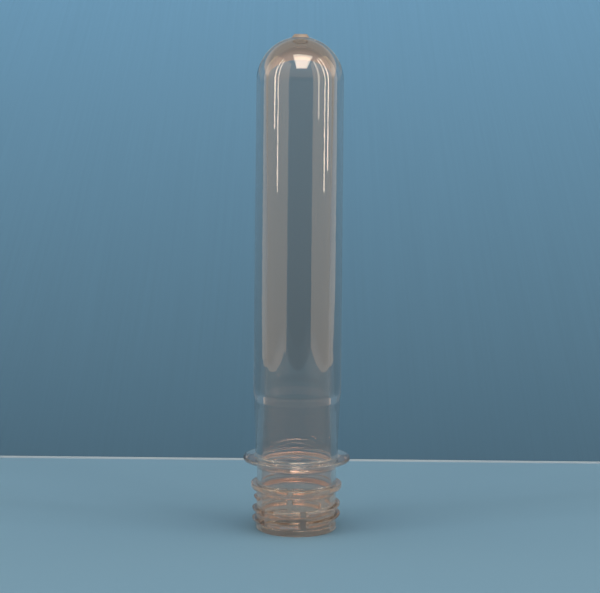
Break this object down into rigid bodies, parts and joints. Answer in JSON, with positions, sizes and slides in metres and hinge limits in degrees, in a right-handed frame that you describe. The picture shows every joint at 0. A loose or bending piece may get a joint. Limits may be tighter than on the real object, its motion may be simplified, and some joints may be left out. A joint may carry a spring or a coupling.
{
  "type": "bottle preform",
  "caption": "Clear plastic bottle preform with a threaded neck, a tamper bead, a support ring and a thick-walled tube that ends in a dome.",
  "frame": {"origin": "centre of the mouth's rim plane, which it stands on", "axes": "+Z along the preform's axis from the mouth to the dome, -Y towards the front, where a thread vent lies just right of the middle"},
  "size_m": [0.033, 0.033, 0.152],
  "materials": {
    "clear_pet": "clear, smooth as moulded, glossy"
  },
  "bodies": {
    "root": {"preform": "clear_pet"}
  },
  "joints": []
}
